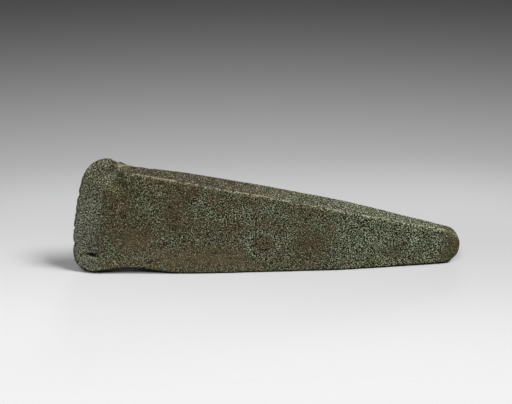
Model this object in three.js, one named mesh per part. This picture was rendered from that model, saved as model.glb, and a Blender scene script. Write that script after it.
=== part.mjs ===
// A cast and hammered copper-alloy flat axe head, standing on its lower narrow side.
// Lengths are millimetres. X runs from the cutting edge to the butt, Z is up, and the broad faces look along Y.
// The head is one casting: a loft of rounded sections whose thickness is where forged planes meet.
import * as THREE from "three";

// Outline of the broad faces
const length = 150; // from the middle of the cutting edge to the end of the butt
const buttWidth = 12.8; // between the lines of the two sides at the butt
const sideAngle = 6.45; // degrees between the middle line and each side
const upperSwell = 1.4; // how far the upper side rises over its line, most halfway along
const swellStart = 21; // from the cutting edge
const upperFlare = 2.4; // how far the upper corner of the blade is drawn out over the line
const upperFlareLength = 11; // from the rounded corner to where the flare has died away
const lowerHollow = 2.2; // depth of the hammered hollow behind the lower corner
const hollowMiddle = 22.7; // from the cutting edge to the deepest place of the hollow
const hollowHalfLength = 20;
const upperCornerRadius = 10; // rounded corners of the blade
const lowerCornerRadius = 7.5;
const edgeBow = 2.4; // how far the cutting edge falls back from its middle to its corners
const edgeSkew = 2.4; // degrees that the cutting edge leans, its lower corner to the front
const edgeReach = 36; // from the cutting edge to where its bow and skew have died away
const buttCornerRadius = 5.5;
const buttBow = 0.5; // how far the end of the butt falls back from its middle to its corners
const buttBowReach = 12;

// Thickness through the broad faces
const edgeFlat = 0.6; // worn flat along the cutting edge
const edgeThickness = 1.8; // behind the rounded shoulders of the edge
const edgeShoulder = 0.9; // depth of those shoulders
const bevelDepth = 10; // ground bevel at the middle of the edge
const sideBevelDepth = 4; // ground bevel where it meets the upper side
const bevelRunOut = 7; // from the upper side to where the bevel has its full depth
const bevelThickness = 8; // at the back of the bevel
const bladeLength = 50; // from the cutting edge to where the faces run parallel
const bodyThickness = 12.2;
const haftLength = 46; // the thinned end that sits in the split haft
const buttThickness = 4.7;
const noseDepth = 2.2; // rounded end of the butt
const planeBlend = 0.5; // thickness over which two forged planes run into each other

// Rounded long edges
const arrisRadius = 0.9;
const bladeArrisRadius = 1.3;
const bladeArrisLength = 30; // from the back of the bevel to where the long edges are at their usual radius
const buttArrisRadius = 1.4;
const arrisShare = 0.95; // most of the half thickness that a rounded edge may take
const noseShare = 0.85; // most of the half thickness that the end of the butt may take

// Steps of the loft
const faceSteps = 24;
const arrisSteps = 4;
const cornerSteps = 11;
const bladeSteps = 12;
const bodySteps = 12;
const haftSteps = 9;
const buttSteps = 9;

const sideSlope = Math.tan(THREE.MathUtils.degToRad(sideAngle));
const skewSlope = Math.tan(THREE.MathUtils.degToRad(edgeSkew));
const haftStart = length - haftLength;
const { clamp, lerp, inverseLerp } = THREE.MathUtils;

// 0 before the first length, 1 past the second, and even in between.
const shareBetween = (x, from, to) => clamp(inverseLerp(from, to, x), 0, 1);

// The smaller of two thicknesses, rounded where they are within planeBlend of each other.
function meetPlanes(a, b) {
  const near = Math.max(planeBlend - Math.abs(a - b), 0);
  return Math.min(a, b) - near ** 2 / (4 * planeBlend);
}

// How much a quarter round of this radius takes away, at this distance from where it starts.
const quarterRound = (radius, past) => radius - Math.sqrt(radius ** 2 - clamp(past, 0, radius) ** 2);

// Half width of the straight tapered wedge that the outline is hammered from.
const wedgeHalfWidth = (x) => buttWidth / 2 + (length - x) * sideSlope;

// Half width with the swell and flare of the upper side, or the hollow of the lower one.
function sideHalfWidth(x, upper) {
  if (upper) {
    const flareEnd = upperCornerRadius + upperFlareLength;
    const flare = upperFlare * (1 - shareBetween(x, upperCornerRadius, flareEnd)) ** 2;
    const along = shareBetween(x, swellStart, length);
    return wedgeHalfWidth(x) + flare + upperSwell * 4 * along * (1 - along);
  }
  const away = clamp((x - hollowMiddle) / hollowHalfLength, -1, 1);
  return wedgeHalfWidth(x) - lowerHollow * Math.cos((away * Math.PI) / 2) ** 2;
}

// Half width with the rounded corners of the blade and the butt.
function outlineHalfWidth(x, upper) {
  const radius = upper ? upperCornerRadius : lowerCornerRadius;
  const bladeRound = quarterRound(radius, radius - x);
  const buttRound = quarterRound(buttCornerRadius, x - (length - buttCornerRadius));
  return sideHalfWidth(x, upper) - bladeRound - buttRound;
}

// Distance to the cutting edge, which is ground on round the upper corner. Inward is measured from the upper side.
function edgeDistance(x, inward) {
  const pastCorner = x - upperCornerRadius;
  if (pastCorner >= 0) return Math.min(x, Math.hypot(pastCorner, inward));
  return upperCornerRadius - Math.hypot(pastCorner, Math.max(upperCornerRadius - inward, 0));
}

// Half thickness at a place on the broad face: the body, the haft end, the blade or the bevel, whichever is thinnest.
function halfThickness(x, z) {
  const inward = Math.max(sideHalfWidth(x, true) - z, 0);
  const edge = Math.max(edgeDistance(x, inward), 0);
  const depth = lerp(sideBevelDepth, bevelDepth, shareBetween(inward, 0, bevelRunOut));
  const bevel = lerp(edgeThickness, bevelThickness, edge / depth) / 2;
  const blade = lerp(bevelThickness, bodyThickness, inverseLerp(bevelDepth, bladeLength, x)) / 2;
  const haft = lerp(bodyThickness, buttThickness, inverseLerp(haftStart, length, x)) / 2;
  const planes = meetPlanes(meetPlanes(meetPlanes(bodyThickness / 2, haft), blade), bevel);
  const shoulderFall = quarterRound(1, 1 - edge / edgeShoulder) * ((edgeThickness - edgeFlat) / 2);
  const nose = Math.min(noseDepth, (noseShare * buttThickness) / 2);
  return planes - shoulderFall - quarterRound(nose, x - (length - nose));
}

// Radius of the rounded long edge, less where the head is too thin or too narrow for it.
function arrisAt(x, upper) {
  const bladeSide = lerp(bladeArrisRadius, arrisRadius, shareBetween(x, 0, bevelDepth + bladeArrisLength));
  const radius = lerp(bladeSide, buttArrisRadius, shareBetween(x, haftStart, length));
  const half = outlineHalfWidth(x, upper);
  return Math.min(radius, arrisShare * halfThickness(x, upper ? half : -half), half / 2);
}

// Slides a point along the tapered wedge, for the bow and skew of the edge and the bow of the butt.
function slideAlong(x, z) {
  const bladeShare = (1 - shareBetween(x, 0, edgeReach)) ** 2;
  const buttShare = shareBetween(x, length - buttBowReach, length) ** 2;
  const edgeShift = bladeShare * (edgeBow * (z / wedgeHalfWidth(0)) ** 2 + skewSlope * z);
  const slid = x + edgeShift - buttShare * buttBow * (z / wedgeHalfWidth(length)) ** 2;
  return { x: slid, z: (z * wedgeHalfWidth(slid)) / wedgeHalfWidth(x) };
}

// One section: up the front face, over the upper side, down the back face and under the lower side.
function sectionPoints(x) {
  const points = [];
  const place = (upper, across, outward, face, facing) => {
    const arris = arrisAt(x, upper);
    const seam = (outlineHalfWidth(x, upper) - arris) * across;
    const half = halfThickness(x, seam);
    const { x: slid, z } = slideAlong(x, seam + outward * arris);
    points.push(new THREE.Vector3(slid, face * (half - arris) + facing * arris, z));
  };
  const turn = (step) => ((step / arrisSteps) * Math.PI) / 2;
  for (const face of [-1, 1]) {
    for (let step = 0; step <= faceSteps; step++) {
      const across = face * (1 - (2 * step) / faceSteps);
      place(across > 0, across, 0, face, face);
    }
    const side = -face;
    const upper = side > 0;
    for (let step = 1; step <= arrisSteps; step++) {
      place(upper, side, side * Math.sin(turn(step)), face, face * Math.cos(turn(step)));
    }
    for (let step = 0; step < arrisSteps; step++) {
      place(upper, side, side * Math.cos(turn(step)), -face, -face * Math.sin(turn(step)));
    }
  }
  return points;
}

// Places of the sections: even between two lengths, and at even turns round the corners.
const evenly = (from, to, count) => Array.from({ length: count }, (_, i) => lerp(from, to, i / count));
const roundTurns = (count) => evenly(0, Math.PI / 2, count);

function stations() {
  const buttRoundStart = length - buttCornerRadius;
  return [
    ...roundTurns(cornerSteps).map((angle) => upperCornerRadius * (1 - Math.cos(angle))),
    ...evenly(upperCornerRadius, edgeReach, bladeSteps),
    ...evenly(edgeReach, haftStart, bodySteps),
    ...evenly(haftStart, buttRoundStart, haftSteps),
    ...roundTurns(buttSteps).map((angle) => buttRoundStart + buttCornerRadius * Math.sin(angle)),
    length,
  ];
}

// Triangles over one end: a ladder between the two faces, and a fan over each rounded side.
function endTriangles(count) {
  const half = count / 2;
  const triangles = [];
  for (let step = 0; step < faceSteps; step++) {
    const opposite = half + faceSteps - step;
    triangles.push([step, step + 1, opposite - 1], [step, opposite - 1, opposite]);
  }
  for (const corner of [faceSteps, half + faceSteps]) {
    for (let step = 1; step <= 2 * arrisSteps; step++) {
      triangles.push([corner, (corner + step) % count, (corner + step + 1) % count]);
    }
  }
  return triangles;
}

// A closed surface over rings of equal count, given from the cutting edge to the butt.
function loft(rings) {
  const count = rings[0].length;
  const index = [];
  for (let ring = 0; ring + 1 < rings.length; ring++) {
    for (let i = 0; i < count; i++) {
      const here = ring * count + i;
      const next = ring * count + ((i + 1) % count);
      index.push(here, here + count, next + count, here, next + count, next);
    }
  }
  const last = (rings.length - 1) * count;
  for (const [a, b, c] of endTriangles(count)) {
    index.push(a, b, c, last + a, last + c, last + b);
  }
  const geometry = new THREE.BufferGeometry().setFromPoints(rings.flat());
  geometry.setIndex(index);
  geometry.computeVertexNormals();
  return geometry;
}

const bronze = new THREE.MeshStandardMaterial({ color: 0x4e4b3a, roughness: 0.6, metalness: 0.4 });
bronze.name = "patinated_bronze";

const axeHead = new THREE.Mesh(loft(stations().map(sectionPoints)), bronze);
axeHead.name = "axe_head";

// Turned by the angle of its side, the head lies with the flat of that side on the ground.
axeHead.rotation.y = THREE.MathUtils.degToRad(sideAngle);

const resting = new THREE.Group();
resting.add(axeHead);
const box = new THREE.Box3().setFromObject(resting, true);
const middle = box.getCenter(new THREE.Vector3());
resting.position.set(-middle.x, -middle.y, -box.min.z);

const group = new THREE.Group();
group.name = "flat_axe";
group.add(resting);

export default group;
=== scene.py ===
"""A hammered flat axe head of patinated bronze, lying on one narrow side on a pale studio floor.

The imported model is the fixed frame. The head's surface repeats its loft on a finer grid, with the dents,
pits and nicks of a worn casting, and carries a patina in layers. Lengths are metres, or written in
millimetres where a comment says so.
"""
import math

import bpy
import numpy as np
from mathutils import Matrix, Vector


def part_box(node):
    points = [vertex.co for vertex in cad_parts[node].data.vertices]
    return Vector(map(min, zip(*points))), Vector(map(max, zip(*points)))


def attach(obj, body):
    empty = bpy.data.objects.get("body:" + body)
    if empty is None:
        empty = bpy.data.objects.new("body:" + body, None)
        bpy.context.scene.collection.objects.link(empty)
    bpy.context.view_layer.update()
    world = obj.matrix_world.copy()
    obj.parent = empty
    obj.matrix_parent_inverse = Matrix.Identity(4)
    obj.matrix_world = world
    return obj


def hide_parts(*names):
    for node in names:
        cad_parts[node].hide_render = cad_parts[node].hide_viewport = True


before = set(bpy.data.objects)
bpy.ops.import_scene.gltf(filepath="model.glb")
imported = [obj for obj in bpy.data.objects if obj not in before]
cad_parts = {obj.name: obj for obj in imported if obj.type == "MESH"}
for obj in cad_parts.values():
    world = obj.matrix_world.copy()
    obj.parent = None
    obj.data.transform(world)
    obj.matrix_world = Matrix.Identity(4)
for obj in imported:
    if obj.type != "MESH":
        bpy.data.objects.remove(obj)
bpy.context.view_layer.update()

bl_info = {
    "name": "Flat Axe Head",
    "version": (1, 0, 0),
    "blender": (4, 5, 0),
    "location": "View3D > Sidebar > Flat Axe",
    "description": "A worn bronze axe head on a pale studio floor",
    "category": "Mesh",
}

MM = 0.001
CAD_NODE = "axe_head"
BODY = "root"

# Steps of the meshes
FACE_STEPS = 92  # across one broad face
ARRIS_STEPS = 6  # round one long edge
SIDE_STEPS = 6  # from a long edge to the middle of the narrow side
CORNER_STEPS = 38  # round a corner of the blade
BLADE_STEPS = 96  # on to where the bow of the edge has died away
BODY_STEPS = 264
BUTT_STEPS = 16  # round a corner of the butt
FLOOR_STEPS = 96  # round the floor


# Properties

def figure(label, value, text, **kind):
    """A number, with its unit or limits."""
    return bpy.props.FloatProperty(name=label, description=text, default=value, **kind)


def size(label, millimetres, text):
    """A length that is written in millimetres and kept in metres."""
    return figure(label, millimetres * MM, text, unit="LENGTH", precision=5)


def angle(label, degrees, text):
    """An angle that is written in degrees and kept in radians."""
    return figure(label, math.radians(degrees), text, unit="ROTATION")


def share(label, value, text):
    """A share from none to all."""
    return figure(label, value, text, min=0, max=1, subtype="FACTOR")


def colour(label, red, green, blue, text):
    """A colour that is written as 8-bit display values and kept as linear ones."""
    return bpy.props.FloatVectorProperty(
        name=label, description=text, min=0, max=1, size=3, subtype="COLOR",
        default=[linear(value) for value in (red, green, blue)],
    )


def linear(value):
    """The linear light of an 8-bit display value, by the sRGB curve."""
    shown = value / 255
    return shown / 12.92 if shown <= 0.04045 else ((shown + 0.055) / 1.055) ** 2.4


class HeadForm(bpy.types.PropertyGroup):
    """Sizes of the smooth head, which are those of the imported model."""

    length: size("Length", 150, "From the cutting edge to the end of the butt")
    butt_width: size("Butt width", 12.8, "Between the lines of its sides")
    side_angle: angle("Side angle", 6.45, "Between the middle line and each side")
    upper_swell: size("Upper swell", 1.4, "How far the upper side rises over its line")
    swell_start: size("Swell start", 21, "From the cutting edge to the swell")
    upper_flare: size("Upper flare", 2.4, "How far the upper corner is drawn out")
    upper_flare_length: size("Upper flare length", 11, "From the corner to the end of the flare")
    lower_hollow: size("Lower hollow", 2.2, "Hollow behind the lower corner")
    hollow_middle: size("Hollow middle", 22.7, "From the edge to its deepest place")
    hollow_half_length: size("Hollow half length", 20, "From its middle to its end")
    upper_corner_radius: size("Upper corner radius", 10, "Upper corner of the blade")
    lower_corner_radius: size("Lower corner radius", 7.5, "Lower corner of the blade")
    edge_bow: size("Edge bow", 2.4, "How far its corners fall back")
    edge_skew: angle("Edge skew", 2.4, "How far the cutting edge leans")
    edge_reach: size("Edge reach", 36, "From the edge to where its bow and skew end")
    butt_corner_radius: size("Butt corner radius", 5.5, "Rounded corners of the butt")
    butt_bow: size("Butt bow", 0.5, "How far its corners fall back")
    butt_bow_reach: size("Butt bow reach", 12, "From the butt to where its bow ends")
    edge_flat: size("Edge flat", 0.6, "Worn flat along the cutting edge")
    edge_thickness: size("Edge thickness", 1.8, "Thickness behind the edge's shoulders")
    edge_shoulder: size("Edge shoulder", 0.9, "Depth of the edge's shoulders")
    bevel_depth: size("Bevel depth", 10, "Ground bevel at the middle of the edge")
    side_bevel_depth: size("Side bevel depth", 4, "Ground bevel at the upper side")
    bevel_run_out: size("Bevel run-out", 7, "From the upper side to the full depth")
    bevel_thickness: size("Bevel thickness", 8, "Thickness at the back of the bevel")
    blade_length: size("Blade length", 50, "From the edge to the parallel faces")
    body_thickness: size("Body thickness", 12.2, "Thickness between the parallel faces")
    haft_length: size("Haft length", 46, "The thinned end for the haft")
    butt_thickness: size("Butt thickness", 4.7, "Thickness at the butt")
    nose_depth: size("Nose depth", 2.2, "Rounded end of the butt")
    plane_blend: size("Plane blend", 0.5, "Thickness over which two planes run together")
    arris_radius: size("Long edge radius", 0.9, "Long edges of the body")
    blade_arris_radius: size("Blade long edge radius", 1.3, "Long edges at the blade")
    blade_arris_length: size("Blade long edge length", 30, "From the bevel to the usual radius")
    butt_arris_radius: size("Butt long edge radius", 1.4, "Long edges at the butt")
    arris_share: share("Long edge share", 0.95, "Most of the half thickness in a rounding")
    nose_share: share("Nose share", 0.85, "Most of the half thickness in the nose")


class HeadWear(bpy.types.PropertyGroup):
    """Heights and depths of what casting, hammering, use and burial left on the surface."""

    waviness: size("Waviness", 0.04, "Usual height of the hammered waves")
    dents: size("Dents", 0.022, "Usual height of the hammer dents")
    lumps: size("Lumps", 0.022, "Usual height of the lumps of corrosion")
    grain: size("Grain", 0.014, "Usual height of the finest grain")
    pit_depth: size("Pit depth", 0.11, "Depth of the corrosion pits")
    band_grain: size("Band grain", 0.04, "Usual height of the bevel's grain")
    band_ridge: size("Band ridge", 0.15, "Height of the ridge behind the bevel")
    rim_lip: size("Rim lip", 0.07, "Height of the lip behind the edge")
    edge_notch: size("Edge notch", 0.45, "Depth of the notches in the edge")
    flaw_depth: size("Flaw depth", 0.8, "Depth of the casting flaw at the lower corner")
    chip_depth: size("Chip depth", 0.35, "Depth of the chips in the long edges")
    butt_wear: size("Butt wear", 0.25, "Worn off the lower corner of the butt")
    facet_depth: size("Facet depth", 0.6, "Depth of the facet behind the upper corner")


class PatinaColours(bpy.types.PropertyGroup):
    """Colours of the layers of the patina, and of the painted shade."""

    brown: colour("Brown skin", 108, 94, 67, "Smooth oxide over the metal")
    dark_brown: colour("Dark brown skin", 98, 85, 58, "Thicker oxide in clouds")
    # paler towards the bottom of the blade's half
    pale_skin: colour("Pale skin", 132, 118, 91, "Paler low on the blade's half")
    olive: colour("Olive crust", 101, 104, 74, "Thin crust over most of the head")
    grey_green: colour("Grey-green crust", 152, 155, 134, "The duller crust on the bevel")
    green: colour("Green growth", 88, 101, 70, "Thicker green growth in spots")
    pale_brown: colour("Pale brown", 212, 201, 170, "Grains in the brown skin")
    speck: colour("Pale specks", 230, 240, 206, "Grains of pale green and earth")
    # the pit colour is also the painted shade under the head and in the upper corner
    pit_and_shade: colour("Pits and painted shade", 16, 14, 4, "Dark bottoms of pits and flaw, and painted shade")
    red: colour("Red oxide", 108, 80, 62, "Oxide where the crust came away")
    stain: colour("Grey stain", 96, 91, 92, "Purple-grey stain on the bevel")
    # partly painted shade: the side that faces up is darkened against the light from above
    upper_skin_and_shade: colour("Upper skin and shade", 58, 53, 36, "Darker skin and painted shade of the upper side")
    rubbed: colour("Rubbed metal", 184, 178, 150, "Edges that handling keeps pale")


class PatinaGrain(bpy.types.PropertyGroup):
    """Sizes and strengths of what the material draws."""

    cloud_size: size("Cloud size", 3, "Clouds in the brown skin")
    crust_size: size("Crust size", 1.1, "Broken edges of the green crust")
    oxide_size: size("Oxide size", 1, "Flakes of red oxide")
    grain_size: size("Grain size", 0.56, "Usual distance between grains")
    dust_size: size("Dust size", 0.38, "Dust in the grains and gaps")
    fray_size: size("Fray size", 0.5, "Frays in the outlines of grains")
    fray: size("Fray", 0.7, "How far the outlines are frayed")
    cell_share: share("Cell share", 0.45, "How much cells count beside dust")
    clump_size: size("Clump size", 1.3, "Clumps of pale grains")
    clumping: share("Clumping", 0.35, "How much paler clumps are")
    gap_from: share("Gap from", 0.315, "Height where it starts to darken")
    gap_full: share("Gap full", 0.155, "Height where it is darkest")
    crowding: share("Crowding", 0.13, "How much more is pale where it is densest")
    grain_from: share("Grain from", 0.512, "Height where it starts to pale")
    grain_full: share("Grain full", 0.582, "Height where it is palest")
    bump: size("Bump", 0.4, "Height of the grains in the shading")
    bump_strength: share("Bump strength", 0.8, "How much of that height shows")
    sheen_size: size("Sheen size", 1.8, "Patches of more and less sheen")
    specular: share("Specular", 0.14, "Reflection of the crust")
    rubbed_metal: share("Rubbed metal", 0.35, "How metallic the rubbed places are")
    pale_skin: share("Pale skin", 0.8, "How much of it shows")
    bevel_crust: share("Bevel crust", 0.85, "How much of it shows")
    stain: share("Stain", 0.5, "How much of it shows")
    # partly painted shade on the side that faces up
    upper_skin_and_shade: share("Upper skin and shade", 0.88, "How much of it shows")
    # painted shade: how dark the parts that face down are made, for the shade under the head
    under_shade_strength: share("Painted under shade", 0.8, "How much of it shows")


class StudioSetup(bpy.types.PropertyGroup):
    """Floor, lights and camera."""

    floor_radius: size("Floor radius", 600, "Radius of the floor")
    # painted light fall-off: the paper's colour darkens from the front to the back
    near_floor: colour("Near floor", 241, 241, 242, "The paper in front, as the camera sees it")
    far_floor: colour("Far floor", 207, 207, 208, "The paper behind, as the camera sees it")
    near_reach: size("Near reach", -80, "From the head to the near colour")
    far_reach: size("Far reach", 45, "From the head to the far colour")
    floor_bounce: share("Floor bounce", 0.12, "How much light the floor sends back")
    fade_start: size("Fade start", 30, "From the head to where the floor fades")
    fade_end: size("Fade end", 120, "From the head to where only the backdrop shows")
    # painted light fall-off towards the right
    floor_slant: share("Floor slant", 0.16, "How much farther the right side counts")
    tooth_size: size("Tooth size", 0.6, "Tooth of the paper")
    low_tone: share("Near tone", 0.9, "Backdrop at the bottom of the view")
    high_tone: share("Far tone", 0.05, "Backdrop at the top of the view")
    low_angle: angle("Near angle", -31.3, "Direction of view of the near tone")
    high_angle: angle("Far angle", -14, "Direction of view of the far tone")
    low_fill: share("Low fill", 0.04, "Light from all round the horizon")
    high_fill: share("High fill", 0.11, "Light from overhead")
    key_level: share("Key level", 0.82, "Soft light from above on the right")
    key_softness: angle("Key softness", 20, "How wide the lights look")
    key_height: angle("Key height", 56, "Height over the horizon")
    key_side: angle("Key side", 64, "Turn from the front to the right")
    front_level: share("Front level", 0.275, "Weaker light from the front")
    front_height: angle("Front height", 50, "Height over the horizon")
    front_side: angle("Front side", -20, "Turn from the front to the right")
    back_level: share("Back level", 0.12, "Weak light on the back face")
    back_height: angle("Back height", 24, "Height over the horizon")
    back_side: angle("Back side", 172, "Turn from the front to the right")
    camera_side: angle("Camera side", -3.34, "Turn from the front to the right")
    camera_height: angle("Camera height", 23.5, "Height over the horizon")
    camera_distance: size("Camera distance", 560, "From the camera to the place it looks at")
    camera_lens: figure("Lens", 102.72, "Focal length in millimetres", unit="CAMERA")
    aim: bpy.props.FloatVectorProperty(
        name="Aim", description="The place that the camera looks at", size=3, subtype="TRANSLATION",
        default=(-4.5 * MM, 0, 27.2 * MM),
    )


# The smooth head

def mix(a, b, part):
    """a where the share is 0, b where it is 1, and even in between and beyond."""
    return a + (b - a) * part


def share_between(value, start, end):
    """0 up to start, 1 from end on, and even in between."""
    return np.clip((value - start) / (end - start), 0, 1)


def ease(value, start, end):
    """0 up to start, 1 from end on, and an S curve between: 3 times the square less 2 times the cube."""
    part = share_between(value, start, end)
    return part * part * (3 - 2 * part)


def quarter_round(radius, past):
    """What a quarter round takes away: its radius less the leg of a right triangle on it."""
    return radius - np.sqrt(radius**2 - np.clip(past, 0, radius) ** 2)


def meet_planes(a, b, blend):
    """The smaller of two thicknesses, rounded by a parabola where they are within the blend."""
    near = np.maximum(blend - np.abs(a - b), 0)
    return np.minimum(a, b) - near**2 / (4 * blend)


def wedge_half_width(form, x):
    """Half width of the taper: half the butt width, plus the way to the butt times the side's slope."""
    return form.butt_width / 2 + (form.length - x) * math.tan(form.side_angle)


def side_half_width(form, x, upper):
    """The taper, with a square-law flare and a parabola's swell above, or a squared cosine off below."""
    flare_end = form.upper_corner_radius + form.upper_flare_length
    flare = form.upper_flare * (1 - share_between(x, form.upper_corner_radius, flare_end)) ** 2
    along = share_between(x, form.swell_start, form.length)
    above = flare + form.upper_swell * 4 * along * (1 - along)
    away = np.clip((x - form.hollow_middle) / form.hollow_half_length, -1, 1)
    below = -form.lower_hollow * np.cos(away * math.pi / 2) ** 2
    return wedge_half_width(form, x) + np.where(upper, above, below)


def outline_half_width(form, x, upper):
    """The side's half width, less a quarter round at the blade and one at the butt."""
    radius = np.where(upper, form.upper_corner_radius, form.lower_corner_radius)
    blade_round = quarter_round(radius, radius - x)
    butt_round = quarter_round(form.butt_corner_radius, x - (form.length - form.butt_corner_radius))
    return side_half_width(form, x, upper) - blade_round - butt_round


def edge_distance(form, x, inward):
    """Distance to the cutting edge, which goes on round the upper corner. Inward is from above."""
    radius = form.upper_corner_radius
    behind = np.minimum(x, np.hypot(x - radius, inward))
    before = radius - np.hypot(radius - x, np.maximum(radius - inward, 0))
    return np.where(x >= radius, behind, before)


def half_thickness(form, x, z):
    """Half of the thinnest of body, haft end, blade and bevel, less the round ends of edge and butt."""
    inward = np.maximum(side_half_width(form, x, True) - z, 0)
    edge = np.maximum(edge_distance(form, x, inward), 0)
    depth = mix(form.side_bevel_depth, form.bevel_depth, share_between(inward, 0, form.bevel_run_out))
    bevel = mix(form.edge_thickness, form.bevel_thickness, edge / depth) / 2
    blade_part = (x - form.bevel_depth) / (form.blade_length - form.bevel_depth)
    blade = mix(form.bevel_thickness, form.body_thickness, blade_part) / 2
    haft_part = (x - form.length + form.haft_length) / form.haft_length
    haft = mix(form.body_thickness, form.butt_thickness, haft_part) / 2
    planes = form.body_thickness / 2
    for plane in (haft, blade, bevel):
        planes = meet_planes(planes, plane, form.plane_blend)
    shoulder_fall = (form.edge_thickness - form.edge_flat) / 2
    shoulder_fall *= quarter_round(1, 1 - edge / form.edge_shoulder)
    nose = min(form.nose_depth, form.nose_share * form.butt_thickness / 2)
    return planes - shoulder_fall - quarter_round(nose, x - (form.length - nose))


def arris_at(form, x, upper):
    """Radius of the long edges: even from blade to body to butt, and less where the head is small."""
    usual_from = form.bevel_depth + form.blade_arris_length
    blade_side = mix(form.blade_arris_radius, form.arris_radius, share_between(x, 0, usual_from))
    haft_part = share_between(x, form.length - form.haft_length, form.length)
    radius = mix(blade_side, form.butt_arris_radius, haft_part)
    half = outline_half_width(form, x, upper)
    thin = form.arris_share * half_thickness(form, x, np.where(upper, half, -half))
    return np.minimum(np.minimum(radius, thin), half / 2)


def slide_along(form, x, z):
    """Slides points along the taper, by square laws that die away, for the bow and skew of the ends."""
    blade_part = (1 - share_between(x, 0, form.edge_reach)) ** 2
    butt_part = share_between(x, form.length - form.butt_bow_reach, form.length) ** 2
    bow = form.edge_bow * (z / wedge_half_width(form, 0)) ** 2
    butt_fall = form.butt_bow * (z / wedge_half_width(form, form.length)) ** 2
    slid = x + blade_part * (bow + math.tan(form.edge_skew) * z) - butt_part * butt_fall
    return slid, z * wedge_half_width(form, slid) / wedge_half_width(form, x)


def ring_shares():
    """Five shares for each point of a section, from below up the front and down the back.

    They are the way across the face, outward round the long edge, the shares of the flat depth and of the
    rounding's depth, and -1 on the front or 1 on the back. Round a long edge they are sines and cosines.
    """
    turn = np.linspace(0, math.pi / 2, ARRIS_STEPS + 1)[1:]
    outward = np.append(np.sin(turn), np.ones(SIDE_STEPS))
    flat = np.append(np.ones(ARRIS_STEPS), np.linspace(1, 0, SIDE_STEPS + 1)[1:])
    rounded = np.append(np.cos(turn), np.zeros(SIDE_STEPS))
    across = np.linspace(-1, 1, FACE_STEPS + 1)
    whole, none = np.ones(len(outward)), np.zeros(FACE_STEPS + 1)
    half_ring = np.array([
        np.concatenate([-whole, across, whole]),
        np.concatenate([-outward[::-1], none, outward]),
        np.concatenate([flat[::-1], none + 1, flat]),
        np.concatenate([rounded[::-1], none + 1, rounded]),
    ])
    back = half_ring[:, -2:0:-1]
    facing = np.append(-np.ones(half_ring.shape[1]), np.ones(back.shape[1]))
    return np.vstack([np.hstack([half_ring, back]), facing])


def stations(form):
    """Places of the sections: at even turns round the corners, by cosine and sine, and even between."""
    blade_turns = np.linspace(0, math.pi / 2, CORNER_STEPS, endpoint=False)
    butt_turns = np.linspace(0, math.pi / 2, BUTT_STEPS + 1)
    butt_start = form.length - form.butt_corner_radius
    return np.concatenate([
        form.upper_corner_radius * (1 - np.cos(blade_turns)),
        np.linspace(form.upper_corner_radius, form.edge_reach, BLADE_STEPS, endpoint=False),
        np.linspace(form.edge_reach, butt_start, BODY_STEPS, endpoint=False),
        butt_start + form.butt_corner_radius * np.sin(butt_turns),
    ])


def smooth_head(form):
    """The points of every section, which is flat with round long edges, and each one's station."""
    x = stations(form)[:, None]
    across, outward, flat, rounded, facing = ring_shares()
    upper = across > 0
    arris = arris_at(form, x, upper)
    seam = (outline_half_width(form, x, upper) - arris) * across
    half = half_thickness(form, x, seam)
    y = facing * (flat * (half - arris) + rounded * arris)
    slid, z = slide_along(form, x, seam + outward * arris)
    return np.stack([slid, y, z], axis=2), np.broadcast_to(x, y.shape)


# Wear of the surface

# Random fields, each with its rough wavelength in millimetres and its seed
WAVES = {
    "hammering": (24, 1), "dents": (9, 2), "lumps": (3.2, 3),
    "grain": (1.25, 4), "band_grain": (1.7, 5), "band_ridge": (6, 6),
    "rim_lip": (2.5, 7), "band_line": (9, 31), "pits": (1.9, 41),
    "pit_patches": (13, 42), "notches": (3.2, 51), "small_notches": (1.2, 52),
    "clouds": (12, 61), "small_clouds": (4.5, 62), "grain_clouds": (8, 63),
    "red_clouds": (6, 64), "rubbed_edges": (2.2, 71), "rubbed_rim": (1.6, 72),
}
WAVE_COUNT = 56  # cosines in a field
WAVE_LENGTHS = (0.75, 1.35)  # least and most of the rough one

# Spots: the middle's x and z and the radii along and up in millimetres, and for some a tilt in degrees
FLAW_SLOT = (7.6, -14.7, 1.7, 0.5, -4)
FLAW_LIP = (8.2, -15.9, 1.8, 0.5, -8)
CORNER_FACET = (14.6, 22.2, 2.6, 1.8, -20)
BUTT_CORNER = (148.6, -4.6, 2.4, 2)
BIG_CHIP = (50, 19.2, 1.9, 0.9)
FRONT_CHIPS = [(31, -19.5), (112, -10.6)]  # small ones
BACK_CHIPS = [(86, 16.5), (64, 18.8), (27, 20.5)]
CHIP_RADII = (1.3, 0.9)
CHIP_SHARE = 0.7  # of the big one's depth

EDGE_NOTCHES = [(1.7, 0.9), (-11.3, 1.1), (9, 0.8), (-5, 0.7)]  # height and reach in millimetres
RAGGED_EDGE = {"notches": 0.25, "small_notches": 0.18}  # shares of a notch's depth
NOTCH_REACH = 3 * MM
WAVES_SUNK = 0.6  # depth of the middle of the hammered waves, in their usual height
RIM_LIP = (2 * MM, 0.6 * MM)  # place and reach of the lip behind the edge
SLOT_FLATNESS = 1.6  # height of the slot's bell, which is cut off at 1
LIP_HEIGHT = 0.15  # share of the flaw's depth
THIN_RELIEF = 0.35  # share of the relief at the edge
THIN_REACH = 6 * MM
BAND_SETBACK = 0.6 * MM  # from the back of the bevel to the band's line
BAND_WAVER = 0.7 * MM
BAND_SOFTNESS = 0.9 * MM  # to each side of the line
BAND_WIDENING = 6 * MM  # towards the upper corner
BAND_WIDENS = (10 * MM, 23 * MM)  # z where it starts and ends

# Values of random fields between which something sets in
PIT_RISE = (1.1, 2.1)
PIT_PATCH_RISE = (-1.2, 0.8)
RIDGE_RISE = (-0.6, 1)
RED_RISE = (1.5, 2.4)
RUB_RISE = (-1.1, 0.8)


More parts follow.
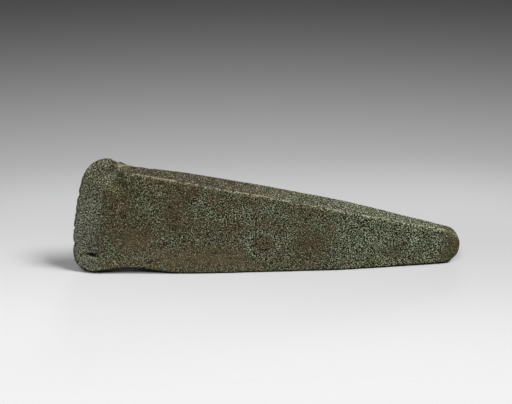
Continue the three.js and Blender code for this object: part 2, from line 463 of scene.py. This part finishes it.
def waves(points, name):
    """A random field of usual size 1: a sum of cosines, each with its own way, length and phase."""
    wavelength, seed = WAVES[name]
    draw = np.random.default_rng(seed)
    ways = draw.normal(size=(WAVE_COUNT, 3))
    ways /= np.linalg.norm(ways, axis=1)[:, None]
    lengths = wavelength * MM * draw.uniform(*WAVE_LENGTHS, WAVE_COUNT)
    phases = draw.uniform(0, 2 * math.pi, WAVE_COUNT)
    total = np.zeros(points.shape[:-1])
    for way, wave, phase in zip(ways, lengths, phases):
        total += np.cos(points @ (way * 2 * math.pi / wave) + phase)
    return total / math.sqrt(WAVE_COUNT / 2)


def bell(value, middle, reach):
    """A bell curve: e to the power of minus the squared distance from the middle, in reaches."""
    return np.exp(-(((value - middle) / reach) ** 2))


def spot(points, x, z, along, upward, tilt=0):
    """A soft spot: the bell curve of the distance from its middle, in its own two radii."""
    turn = math.radians(tilt)
    right = points[..., 0] - x * MM
    up = points[..., 2] - z * MM
    run = (right * math.cos(turn) + up * math.sin(turn)) / (along * MM)
    rise = (up * math.cos(turn) - right * math.sin(turn)) / (upward * MM)
    return np.exp(-(run**2) - rise**2)


def grid_normals(points):
    """Unit normals of a ring grid: the cross product of the way along and the way round."""
    along = np.gradient(points, axis=0)
    around = np.roll(points, -1, axis=1) - np.roll(points, 1, axis=1)
    normals = np.cross(along, around)
    return normals / np.linalg.norm(normals, axis=2, keepdims=True)


def bevel_band(form, points, station):
    """1 on the ground bevel, 0 behind it, and an S curve over its wavering line."""
    line = form.bevel_depth - BAND_SETBACK + BAND_WAVER * waves(points, "band_line")
    line += BAND_WIDENING * ease(points[..., 2], *BAND_WIDENS)
    return 1 - ease(station, line - BAND_SOFTNESS, line + BAND_SOFTNESS)


def pits(points):
    """1 in the bottoms of the corrosion pits, by an S curve over the highest parts of a random field."""
    patchy = ease(waves(points, "pit_patches"), *PIT_PATCH_RISE)
    return ease(waves(points, "pits"), *PIT_RISE) * patchy


def front_side(points):
    """1 on the front half, 0 on the back half."""
    return (points[..., 1] < 0).astype(float)


def flaw(points):
    """The casting flaw's slot, a spot with its top cut off, and the lip below it, a spot too."""
    front = front_side(points)
    slot = np.clip(SLOT_FLATNESS * spot(points, *FLAW_SLOT), 0, 1)
    return slot * front, spot(points, *FLAW_LIP) * front


def chips(points):
    """Chips out of the long edges: the sum of one big and some shallower spots, up to 1."""
    front = front_side(points)
    found = spot(points, *BIG_CHIP) * front
    for middles, side in ((FRONT_CHIPS, front), (BACK_CHIPS, 1 - front)):
        for middle in middles:
            found += CHIP_SHARE * spot(points, *middle, *CHIP_RADII) * side
    return np.clip(found, 0, 1)


def notch_edge(form, wear, points, station):
    """Moves the edge back by bell curves and fine waves up its height, which die away behind it."""
    upright = points * [0, 0, 1]
    notches = sum(part * np.abs(waves(upright, name)) for name, part in RAGGED_EDGE.items())
    for middle, reach in EDGE_NOTCHES:
        notches += bell(points[..., 2], middle * MM, reach * MM)
    near = (1 - share_between(station, 0, NOTCH_REACH)) ** 2
    moved = points.copy()
    moved[..., 0] += wear.edge_notch * notches * near
    return moved


def relief(form, wear, points, station):
    """Height over the smooth surface: random waves of several lengths, less pits, chips and the flaw.

    The ridge is highest where the band is half. All of it is less where the edge is thin.
    """
    band = bevel_band(form, points, station)
    slot, lip = flaw(points)
    height = wear.waviness * (waves(points, "hammering") - WAVES_SUNK)
    for name in ("dents", "lumps", "grain"):
        height += getattr(wear, name) * waves(points, name)
    height += wear.band_grain * band * waves(points, "band_grain")
    ridge = 4 * band * (1 - band)
    height += wear.band_ridge * ridge * ease(waves(points, "band_ridge"), *RIDGE_RISE)
    height += wear.rim_lip * bell(station, *RIM_LIP) * (1 + waves(points, "rim_lip")) / 2
    height += wear.flaw_depth * (LIP_HEIGHT * lip - slot)
    height -= wear.pit_depth * pits(points) + wear.chip_depth * chips(points)
    height -= wear.facet_depth * spot(points, *CORNER_FACET) * front_side(points)
    height -= wear.butt_wear * spot(points, *BUTT_CORNER)
    return height * mix(THIN_RELIEF, 1, share_between(station, 0, THIN_REACH))


# The patina's places, and those of the painted shade

# Spots of the patina, and of painted shade, on the front, written as above
PLACES = {
    "green": [
        (25, 9.5, 3, 4), (47, 10, 4, 4), (14, -13, 3, 3), (65, 8, 2.5, 5), (67, -2, 1.8, 4),
        (74, 11.5, 3, 2), (79, 8, 4, 2), (82, -1, 1.5, 3), (93, 5, 2, 3), (110, 2, 4, 5),
        (131, 2, 2.5, 5), (115, 8.5, 3, 2), (72.5, 2.5, 2, 1.4), (141, 2, 4, 2.5), (75, -14, 3, 2),
        (68, -7, 2, 2),
    ],
    "brown": [
        (16.5, 8, 3, 8), (38, 8, 2, 6), (44, 16, 3, 2.5), (51, 14, 2.5, 2.5), (60, 4, 3, 4),
        (72, -2, 3, 3), (77.5, -6, 2, 3), (90, -1, 5, 4), (27, -6, 5, 5), (38, -13, 5, 3),
        (52, -11, 6, 3.5), (62, -9, 5, 3),
    ],
    "red": [(43, 17, 2, 1.6), (50.5, 14.5, 2, 2), (92, 10, 3, 1.5), (38, 9, 1.5, 4), (148.5, 1, 1.6, 3)],
    "speckled": [
        (9, 16, 2, 4), (27, 7.5, 3.5, 2.5), (30.5, 16, 2, 2), (46, 12, 4, 4), (49, -2.5, 4, 2),
        (36.5, -6, 3, 2), (62, -2, 5, 2.5), (62, 9, 5, 3), (73.5, 12, 3, 2.5), (80, 6, 2, 3),
        (82, -1, 2, 4), (82.5, -8, 1.2, 2), (28, -12.5, 2, 2), (105, 9, 4, 2), (114, 3, 5, 3),
        (131, 3, 2, 3), (141, 2.5, 3, 3),
    ],
    "smooth": [
        (90, -1, 5, 5), (57, -10.5, 12, 3), (38, 10, 3, 6), (40, -13, 6, 2.5), (22, -5, 5, 4),
        (124, -2, 3, 4), (148, 1, 3, 5),
    ],
    "stained": [(7.7, -11.8, 2.2, 2.6), (9.8, -9.4, 2, 3), (8.5, -3, 2, 3), (13.1, 21.1, 1.6, 1.4)],
    # painted shade in the corner of the facet behind the upper corner of the blade
    "painted_corner_shade": [(12.2, 21.4, 2, 1.8)],
    "down_corner": [(14.3, 21.2, 2.4, 0.35, 45)],
}
# x in millimetres where each of these starts and is whole
SPANS = {"butt_half": (90, 104), "behind_blade": (36, 78), "nose": (138, 146)}
RING_MIDDLE = (72.6 * MM, -3.2 * MM)
RING = (5.5 * MM, 1.3 * MM)  # radius of the ring of specks, and its reach

# From and to which x or z something sets in
BLADE_HALF_ENDS = (62 * MM, 82 * MM)
UPPER_SIDE_FADES = (35 * MM, 95 * MM)
BELOW_MIDDLE = (0, 12 * MM)
BAND_THINS = (2 * MM, 15 * MM)
BAND_SMOOTHS = (6 * MM, 16 * MM)

# How far up or down a narrow side faces
FACES_UP = (0.5, 0.9)
# the parts that face down get painted shade
FACES_DOWN = (0, 0.6)

# Where handling keeps the metal pale
RUB_LINE = (0.9, 0.1)  # share outward round the long edges, and its reach
RUB_ROUND = (0, 0.2)  # share of the rounding's depth
RUB_WHOLE = 0.8  # how much lower RUB_RISE is near the blade
RUB_BREAKS = (31 * MM, 37 * MM)  # from the cutting edge
RUB_START = (18 * MM, 22 * MM)
RUB_RIM = (1.9 * MM, 0.7 * MM)  # place and reach
RUB_OVER = (16 * MM, 0.8 * MM)  # x on the narrow side, and reach
RUB_SLANT = 0.8  # along, for each length across
RUB_ACROSS = (-2 * MM, 0)

# Each layer as a sum of places, each times its share
LAYERS = {
    "green_crust": {
        "everywhere": 0.38, "clouds": 0.04, "small_clouds": 0.04, "butt_half": 0.26, "green": 0.3,
        "ring": 0.18, "brown": -0.22, "upper_side": -0.3, "upper_side_behind": 0.5,
    },
    "grain": {
        "everywhere": 0.7, "grain_clouds": 0.03, "behind_blade": 0.12, "band": 0.25, "high_band": -0.2,
        "ring": 0.5, "speckled": 0.42, "butt_half": 0.18, "brown": -0.1, "smooth": -0.36, "nose": -0.5,
        "upper_side": -0.12,
    },
    "red_oxide": {"red": 1, "red_clouds": 0.6},
    "grey_stain": {"stained": 1},
    "pale_skin": {"low_blade": 1},
    "bevel_band": {"band": 1, "thin_band": -0.7},
    # the pits, flaw and chips of the patina, and painted shade in the upper corner
    "hollows_and_corner_shade": {"pits": 0.75, "slot": 1.3, "chips": 0.3, "painted_corner_shade": 0.6},
    # painted shade under the head
    "painted_under_shade": {"painted_under_shade": 1},
    "rubbed": {"lip": 0.5, "long_edges": 1, "rim": 0.5, "over_corner": 0.6, "down_corner": 0.35},
    # darker skin and painted shade on the side that faces up
    "upper_side": {"upper_side": 1, "upper_side_behind": -0.15},
}
NOSE_BARE = 0.3  # share of the green crust that handling took off the end of the butt
MOST = {"grain": 1.5}  # most of a layer where that isn't 1


def places(points, middles):
    """The sum of spots on the front, up to 1."""
    return np.clip(sum(spot(points, *middle) for middle in middles), 0, 1) * front_side(points)


def rubbed_edges(points, station):
    """The rub along the long edges: a bell curve round them, broken by a random field."""
    _, outward, _, rounded, _ = ring_shares()
    line = bell(np.abs(outward), *RUB_LINE) * ease(rounded, *RUB_ROUND)
    lower = RUB_WHOLE * (1 - ease(station, *RUB_BREAKS))
    broken = ease(waves(points, "rubbed_edges"), RUB_RISE[0] - lower, RUB_RISE[1] - lower)
    return line * broken * ease(station, *RUB_START)


def patina_places(form, points, station):
    """What the layers are sums of: spots, bells and S curves from 0 to 1, and random clouds round 0."""
    x, across, z = np.moveaxis(points, -1, 0)
    faces_up = grid_normals(points)[..., 2]
    upper_side = ease(faces_up, *FACES_UP)
    band = bevel_band(form, points, station)
    slot, lip = flaw(points)
    from_ring = np.hypot(x - RING_MIDDLE[0], z - RING_MIDDLE[1])
    over_corner = bell(x - RUB_SLANT * across, *RUB_OVER) * ease(across, *RUB_ACROSS)
    return {
        **{name: places(points, middles) for name, middles in PLACES.items()},
        **{name: ease(x, start * MM, end * MM) for name, (start, end) in SPANS.items()},
        **{name: waves(points, name) for name in ("clouds", "small_clouds", "grain_clouds")},
        "everywhere": 1,
        "ring": bell(from_ring, *RING) * front_side(points),
        "low_blade": ease(-z, *BELOW_MIDDLE) * (1 - ease(x, *BLADE_HALF_ENDS)),
        "band": band,
        "thin_band": band * ease(z, *BAND_THINS),
        "high_band": band * ease(z, *BAND_SMOOTHS),
        "upper_side": upper_side,
        "upper_side_behind": upper_side * ease(x, *UPPER_SIDE_FADES),
        # painted shade on what faces down
        "painted_under_shade": ease(-faces_up, *FACES_DOWN),
        "red_clouds": ease(waves(points, "red_clouds"), *RED_RISE),
        "pits": pits(points),
        "slot": slot,
        "lip": lip,
        "chips": chips(points),
        "over_corner": over_corner * upper_side,
        "long_edges": rubbed_edges(points, station),
        "rim": bell(station, *RUB_RIM) * ease(waves(points, "rubbed_rim"), 0, 1),
    }


def patina_fields(form, points, station):
    """How much of each layer lies at each point: the sum of its places times their shares, from 0 up."""
    found = patina_places(form, points, station)
    totals = {
        layer: sum(part * found[place] for place, part in shares.items())
        for layer, shares in LAYERS.items()
    }
    totals["green_crust"] *= 1 - NOSE_BARE * found["nose"]
    return {layer: np.clip(total, 0, MOST.get(layer, 1)) for layer, total in totals.items()}


# Meshes

def head_faces(rings, count):
    """Quads between neighbouring sections, and over each end a ladder between its front and its back."""
    here = np.arange((rings - 1) * count).reshape(rings - 1, count)
    after = np.roll(here, -1, axis=1)
    quads = np.stack([here, here + count, after + count, after], axis=2).reshape(-1, 4)
    steps = np.arange(1, count // 2 - 1)
    ladder = np.stack([steps, steps + 1, count - steps - 1, count - steps], axis=1)
    tips = [[0, 1, count - 1], [count // 2 - 1, count // 2, count // 2 + 1]]
    last = (rings - 1) * count
    ends = ladder.tolist() + tips
    far_ends = [[last + corner for corner in reversed(face)] for face in ends]
    return quads.tolist() + ends + far_ends


def laid_down(form, points, resting):
    """Turns points by the side's angle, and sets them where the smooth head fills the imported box."""
    cosine, sine = math.cos(form.side_angle), math.sin(form.side_angle)
    turn = np.array([[cosine, 0, -sine], [0, 1, 0], [sine, 0, cosine]])
    low, high = (np.array(corner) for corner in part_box(CAD_NODE))
    laid = resting @ turn
    first, last = laid.min(axis=(0, 1)), laid.max(axis=(0, 1))
    shift = (low + high - first - last) / 2
    shift[2] = low[2] - first[2]
    placed = points @ turn + shift
    placed[..., 2] = np.maximum(placed[..., 2], low[2])
    return placed


def make_object(name, data):
    """Links a new object with this mesh or other data into the scene."""
    made = bpy.data.objects.new(name, data)
    bpy.context.scene.collection.objects.link(made)
    return made


def unrolled(points):
    """Places on the unrolled surface: the length in plan from the cutting edge, and the length round.

    The length round starts at the middle of the front, so that there the places are nearly x and z.
    """
    plan_steps = np.diff(points[..., :2], axis=0, prepend=points[:1, :, :2])
    along = points[:1, :, 0] + np.linalg.norm(plan_steps, axis=2).cumsum(axis=0)
    round_steps = np.diff(points, axis=1, prepend=points[:, :1])
    around = np.linalg.norm(round_steps, axis=2).cumsum(axis=1)
    front_middle = points.shape[1] // 4
    around += points[:, [front_middle], 2] - around[:, [front_middle]]
    return np.stack([along, around, np.zeros_like(along)], axis=2)


def add_fields(mesh, fields):
    """Writes each field into the mesh as a point attribute: numbers, or vectors where it has three."""
    for name, values in fields.items():
        kind, key = ("FLOAT_VECTOR", "vector") if values.ndim == 3 else ("FLOAT", "value")
        attribute = mesh.attributes.new(name, kind, "POINT")
        attribute.data.foreach_set(key, values.astype(np.float32).ravel())


# Materials

# S curves: the values where each starts and ends, and for some its shares there
CLOUD_CURVE = (0.36, 0.62)
CRUST_BREAKS = (0.3, 0.7, 0.3, 0.7)
OLIVE_CURVE = (0.6, 1.2)
GREEN_CURVE = (0.95, 1.45, 0, 0.5)
FLAKE_CURVE = (0.35, 0.6, 0, 0.8)
CLUMP_CURVE = (0.38, 0.62)
SPECK_CURVE = (0, 0.9)
ROUGHNESS_CURVE = (0.3, 0.7, 0.55, 0.82)
TOOTH_CURVE = (0.2, 0.8, 0.97, 1)
BLACK = (0, 0, 0)


class Shading:
    """Adds nodes to a material or a world. Sockets are named by their identifiers."""

    def __init__(self, owner):
        owner.use_nodes = True
        self.tree = owner.node_tree
        self.tree.nodes.clear()
        self.coordinates = self.add("ShaderNodeTexCoord")
        self.place = self.out(self.coordinates, "Object")

    def add(self, kind, settings=None, **inputs):
        """A node of this kind, with its settings, and with values or links on its inputs.

        A colour is given as red, green and blue.
        """
        node = self.tree.nodes.new(kind)
        for name, value in (settings or {}).items():
            setattr(node, name, value)
        for socket in node.inputs:
            if socket.identifier not in inputs:
                continue
            value = inputs.pop(socket.identifier)
            if isinstance(value, bpy.types.NodeSocket):
                self.tree.links.new(value, socket)
            else:
                socket.default_value = (*value, 1) if socket.type == "RGBA" else value
        if inputs:
            raise ValueError(f"{kind} has no input {sorted(inputs)}")
        return node

    def out(self, node, identifier):
        """The output socket with this identifier."""
        return next(socket for socket in node.outputs if socket.identifier == identifier)

    def noise(self, grain, seed, detail=2):
        """Noise with this size of grain in metres, about 0.5."""
        scale = {"W": seed, "Scale": 1 / grain, "Detail": detail}
        settings = {"noise_dimensions": "4D"}
        node = self.add("ShaderNodeTexNoise", settings, Vector=self.place, **scale)
        return self.out(node, "Fac")

    def frayed(self, place, grain, reach):
        """A place, moved about by a noise of this grain, up to the reach."""
        node = self.add("ShaderNodeTexNoise", Vector=self.place, Scale=1 / grain, Detail=1)
        terms = {"Vector": self.out(node, "Color"), "Vector_001": (reach,) * 3, "Vector_002": place}
        moved = self.add("ShaderNodeVectorMath", {"operation": "MULTIPLY_ADD"}, **terms)
        return self.out(moved, "Vector")

    def field(self, name, output="Fac"):
        """A point attribute of the mesh."""
        return self.out(self.add("ShaderNodeAttribute", {"attribute_name": name}), output)

    def number(self, operation, first, second=0.0):
        """One sum of two numbers."""
        node = self.add("ShaderNodeMath", {"operation": operation}, Value=first, Value_001=second)
        return self.out(node, "Value")

    def rise(self, value, start, end, low=0, high=1):
        """An S curve from low at start to high at end."""
        ends = {"From Min": start, "From Max": end, "To Min": low, "To Max": high}
        node = self.add("ShaderNodeMapRange", {"interpolation_type": "SMOOTHSTEP"}, Value=value, **ends)
        return self.out(node, "Result")

    def layer(self, part, under, over):
        """One colour laid over another, as far as the share says."""
        sockets = {"Factor_Float": part, "A_Color": under, "B_Color": over}
        return self.out(self.add("ShaderNodeMix", {"data_type": "RGBA"}, **sockets), "Result_Color")

    def coat(self, name, strength, under, over):
        """One colour laid over another where this field lies, times the strength."""
        return self.layer(self.number("MULTIPLY", self.field(name), strength), under, over)

    def blend(self, part, under, over):
        """One surface shader turning into another, as far as the share says."""
        node = self.add("ShaderNodeMixShader", Fac=part, Shader=under, Shader_001=over)
        return self.out(node, "Shader")


def grained(nodes, under, colours, grain):
    """A colour under dark gaps and pale grains, and their height.

    The height is dust less the distance to the nearest of scattered points on the unrolled surface.
    """
    density = nodes.field("grain")
    place = nodes.frayed(nodes.field("unrolled", "Vector"), grain.fray_size, grain.fray)
    plane = {"voronoi_dimensions": "2D"}
    cells = nodes.add("ShaderNodeTexVoronoi", plane, Vector=place, Scale=1 / grain.grain_size)
    away = nodes.number("MULTIPLY", nodes.out(cells, "Distance"), grain.cell_share)
    height = nodes.number("SUBTRACT", nodes.noise(grain.dust_size, seed=2, detail=1), away)
    clumps = nodes.noise(grain.clump_size, seed=6, detail=1)
    clumps = nodes.rise(clumps, *CLUMP_CURVE, low=1 - grain.clumping)
    dark = nodes.number("MULTIPLY", nodes.rise(height, grain.gap_from, grain.gap_full), density)
    raised = nodes.number("ADD", height, nodes.number("MULTIPLY", density, grain.crowding))
    pale = nodes.number("MULTIPLY", nodes.rise(raised, grain.grain_from, grain.grain_full), clumps)
    green = nodes.rise(nodes.field("green_crust"), *SPECK_CURVE)
    speck = nodes.layer(green, colours.pale_brown, colours.speck)
    gaps = nodes.layer(dark, under, colours.pit_and_shade)
    return nodes.layer(pale, gaps, speck), height


def patina_colour(nodes, colours, grain):
    """The patina from the metal out: skin, crusts, stains, grains, rubbed edges and hollows, with painted
    shade on the upper side, in the upper corner and under the head.
    """
    clouds = nodes.rise(nodes.noise(grain.cloud_size, seed=1, detail=3), *CLOUD_CURVE)
    skin = nodes.layer(clouds, colours.dark_brown, colours.brown)
    skin = nodes.coat("pale_skin", grain.pale_skin, skin, colours.pale_skin)
    broken = nodes.rise(nodes.noise(grain.crust_size, seed=4), *CRUST_BREAKS)
    crust_edge = nodes.number("ADD", nodes.field("green_crust"), broken)
    crust = nodes.layer(nodes.rise(crust_edge, *OLIVE_CURVE), skin, colours.olive)
    crust = nodes.layer(nodes.rise(crust_edge, *GREEN_CURVE), crust, colours.green)
    flakes = nodes.rise(nodes.noise(grain.oxide_size, seed=5), *FLAKE_CURVE)
    crust = nodes.coat("bevel_band", grain.bevel_crust, crust, colours.grey_green)
    crust = nodes.coat("red_oxide", flakes, crust, colours.red)
    crust = nodes.coat("grey_stain", grain.stain, crust, colours.stain)
    # darker skin and painted shade on the side that faces up
    crust = nodes.coat("upper_side", grain.upper_skin_and_shade, crust, colours.upper_skin_and_shade)
    crust, height = grained(nodes, crust, colours, grain)
    crust = nodes.layer(nodes.field("rubbed"), crust, colours.rubbed)
    # painted shade on the parts that face down
    crust = nodes.coat("painted_under_shade", grain.under_shade_strength, crust, colours.pit_and_shade)
    # dark pits, flaw and chips, and painted shade in the upper corner
    return nodes.layer(nodes.field("hollows_and_corner_shade"), crust, colours.pit_and_shade), height


def patina_material(colours, grain):
    """Matte patina over bronze: layered colours, a grainy bump, and a little sheen where it is rubbed."""
    material = bpy.data.materials.new("patinated_bronze_finish")
    nodes = Shading(material)
    base, height = patina_colour(nodes, colours, grain)
    bump = nodes.add("ShaderNodeBump", Strength=grain.bump_strength, Distance=grain.bump, Height=height)
    look = {
        "Base Color": base,
        "Roughness": nodes.rise(nodes.noise(grain.sheen_size, seed=8, detail=3), *ROUGHNESS_CURVE),
        "Metallic": nodes.number("MULTIPLY", nodes.field("rubbed"), grain.rubbed_metal),
        "Specular IOR Level": grain.specular,
        "Normal": nodes.out(bump, "Normal"),
    }
    surface = nodes.add("ShaderNodeBsdfPrincipled", **look)
    nodes.add("ShaderNodeOutputMaterial", Surface=nodes.out(surface, "BSDF"))
    return material


def floor_material(studio, half_length):
    """Pale matte paper with painted light fall-off, darker towards the back and the right, that fades out
    away from the head's middle line, for the camera alone.
    """
    material = bpy.data.materials.new("studio_floor")
    nodes = Shading(material)
    axes = nodes.add("ShaderNodeSeparateXYZ", Vector=nodes.place)
    right, back = nodes.out(axes, "X"), nodes.out(axes, "Y")
    beyond = nodes.number("SUBTRACT", nodes.number("ABSOLUTE", right), half_length)
    offset = nodes.add("ShaderNodeCombineXYZ", X=nodes.number("MAXIMUM", beyond), Y=back)
    away = nodes.add("ShaderNodeVectorMath", {"operation": "LENGTH"}, Vector=nodes.out(offset, "Vector"))
    faded = nodes.rise(nodes.out(away, "Value"), studio.fade_start, studio.fade_end)
    camera_ray = nodes.out(nodes.add("ShaderNodeLightPath"), "Is Camera Ray")
    # painted light fall-off: darker towards the back and the right
    depth = nodes.number("ADD", back, nodes.number("MULTIPLY", right, studio.floor_slant))
    depth = nodes.rise(depth, studio.near_reach, studio.far_reach)
    paper = nodes.layer(depth, studio.near_floor, studio.far_floor)
    tooth = nodes.rise(nodes.noise(studio.tooth_size, seed=1), *TOOTH_CURVE)
    paper = nodes.layer(tooth, BLACK, paper)
    paper = nodes.layer(camera_ray, [studio.floor_bounce] * 3, paper)
    matte = nodes.out(nodes.add("ShaderNodeBsdfDiffuse", Color=paper), "BSDF")
    clear = nodes.out(nodes.add("ShaderNodeBsdfTransparent"), "BSDF")
    surface = nodes.blend(nodes.number("MULTIPLY", faded, camera_ray), matte, clear)
    nodes.add("ShaderNodeOutputMaterial", Surface=surface)
    return material


def studio_world(studio):
    """Light that grows towards the zenith, and for camera, mirror and glass rays a paling backdrop."""
    world = bpy.data.worlds.new("studio_backdrop")
    nodes = Shading(world)
    direction = nodes.out(nodes.coordinates, "Generated")
    upward = nodes.out(nodes.add("ShaderNodeSeparateXYZ", Vector=direction), "Z")
    low, high = math.sin(studio.low_angle), math.sin(studio.high_angle)
    tone = nodes.rise(upward, low, high, studio.low_tone, studio.high_tone)
    backdrop = nodes.out(nodes.add("ShaderNodeBackground", Color=tone), "Background")
    level = nodes.rise(upward, 0, 1, studio.low_fill, studio.high_fill)
    fill = nodes.out(nodes.add("ShaderNodeBackground", Color=level), "Background")
    path = nodes.add("ShaderNodeLightPath")
    seen = nodes.number("MAXIMUM", nodes.out(path, "Is Camera Ray"), nodes.out(path, "Is Glossy Ray"))
    seen = nodes.number("MAXIMUM", seen, nodes.out(path, "Is Transmission Ray"))
    nodes.add("ShaderNodeOutputWorld", Surface=nodes.blend(seen, fill, backdrop))
    return world


# Stage

def way_to(side, height):
    """The unit vector to a place that is turned from the front to the right, and then lifted."""
    flat = math.cos(height)
    return Vector((math.sin(side) * flat, -math.cos(side) * flat, math.sin(height)))


def make_floor(studio):
    """A disc of paper under the head: points at even turns of a circle."""
    turns = np.linspace(0, 2 * math.pi, FLOOR_STEPS, endpoint=False)
    rim = studio.floor_radius * np.stack([np.cos(turns), np.sin(turns), 0 * turns], axis=1)
    mesh = bpy.data.meshes.new("studio_floor")
    mesh.from_pydata(rim.tolist(), [], [list(range(FLOOR_STEPS))])
    low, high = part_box(CAD_NODE)
    mesh.materials.append(floor_material(studio, (high.x - low.x) / 2))
    make_object("studio_floor", mesh)


def make_aimed(name, data, way):
    """An object at the origin that looks back along this way."""
    made = make_object(name, data)
    made.rotation_mode = "QUATERNION"
    made.rotation_quaternion = (-way).to_track_quat("-Z", "Y")
    return made


def make_light(name, level, side, height, softness):
    """One wide soft light. A white surface that faces it shows its level, where 1 is full white."""
    lamp = bpy.data.lights.new(name, "SUN")
    lamp.energy = level * math.pi
    lamp.angle = softness
    make_aimed(name, lamp, way_to(side, height))


def make_camera(studio):
    """The camera, at its distance and angles from the place it looks at."""
    data = bpy.data.cameras.new("studio_camera")
    data.lens = studio.camera_lens
    back = way_to(studio.camera_side, studio.camera_height)
    camera = make_aimed("studio_camera", data, back)
    camera.location = Vector(studio.aim) + back * studio.camera_distance
    bpy.context.scene.camera = camera


# Operators, panel and registration

class FLATAXE_OT_head(bpy.types.Operator):
    """Make the head: its worn surface and its patina"""

    bl_idname = "flat_axe.head"
    bl_label = "Axe head"

    def execute(self, context):
        form, wear = context.scene.axe_form, context.scene.axe_wear
        smooth, station = smooth_head(form)
        notched = notch_edge(form, wear, smooth, station)
        height = relief(form, wear, notched, station)
        worn = notched + grid_normals(smooth) * height[..., None]
        rings, count = station.shape
        mesh = bpy.data.meshes.new("worn_axe_head")
        placed = laid_down(form, worn, smooth)
        mesh.from_pydata(placed.reshape(-1, 3).tolist(), [], head_faces(rings, count))
        mesh.shade_smooth()
        add_fields(mesh, patina_fields(form, notched, station))
        add_fields(mesh, {"unrolled": unrolled(smooth)})
        mesh.materials.append(patina_material(context.scene.axe_colours, context.scene.axe_grain))
        head = make_object("worn_axe_head", mesh)
        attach(head, BODY)
        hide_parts(CAD_NODE)
        return {"FINISHED"}


class FLATAXE_OT_stage(bpy.types.Operator):
    """Make the stage: floor, backdrop, soft light and camera"""

    bl_idname = "flat_axe.stage"
    bl_label = "Studio stage"

    def execute(self, context):
        studio = context.scene.axe_studio
        make_floor(studio)
        softness = studio.key_softness
        make_light("soft_key", studio.key_level, studio.key_side, studio.key_height, softness)
        make_light("front_light", studio.front_level, studio.front_side, studio.front_height, softness)
        make_light("back_light", studio.back_level, studio.back_side, studio.back_height, softness)
        make_camera(studio)
        context.scene.world = studio_world(studio)
        context.scene.view_settings.view_transform = "Standard"
        return {"FINISHED"}


class FLATAXE_PT_sidebar(bpy.types.Panel):
    """Lists what the head and its stage are made by"""

    bl_idname = "FLATAXE_PT_sidebar"
    bl_label = "Flat Axe Head"
    bl_space_type = "VIEW_3D"
    bl_region_type = "UI"
    bl_category = "Flat Axe"

    def draw(self, context):
        for operator in OPERATORS:
            self.layout.operator(operator.bl_idname)
        for name, group in GROUPS.items():
            settings = getattr(context.scene, name)
            box = self.layout.box()
            box.label(text=group.__name__)
            for label in group.__annotations__:
                box.prop(settings, label)


OPERATORS = (FLATAXE_OT_head, FLATAXE_OT_stage)
GROUPS = {
    "axe_form": HeadForm,
    "axe_wear": HeadWear,
    "axe_colours": PatinaColours,
    "axe_grain": PatinaGrain,
    "axe_studio": StudioSetup,
}
CLASSES = (*GROUPS.values(), *OPERATORS, FLATAXE_PT_sidebar)


def register():
    for made in CLASSES:
        bpy.utils.register_class(made)
    for name, group in GROUPS.items():
        setattr(bpy.types.Scene, name, bpy.props.PointerProperty(type=group))


def unregister():
    for name in GROUPS:
        delattr(bpy.types.Scene, name)
    for made in reversed(CLASSES):
        bpy.utils.unregister_class(made)


def main():
    """Registers the classes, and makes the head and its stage."""
    register()
    bpy.ops.flat_axe.head()
    bpy.ops.flat_axe.stage()


if __name__ == "__main__":
    main()
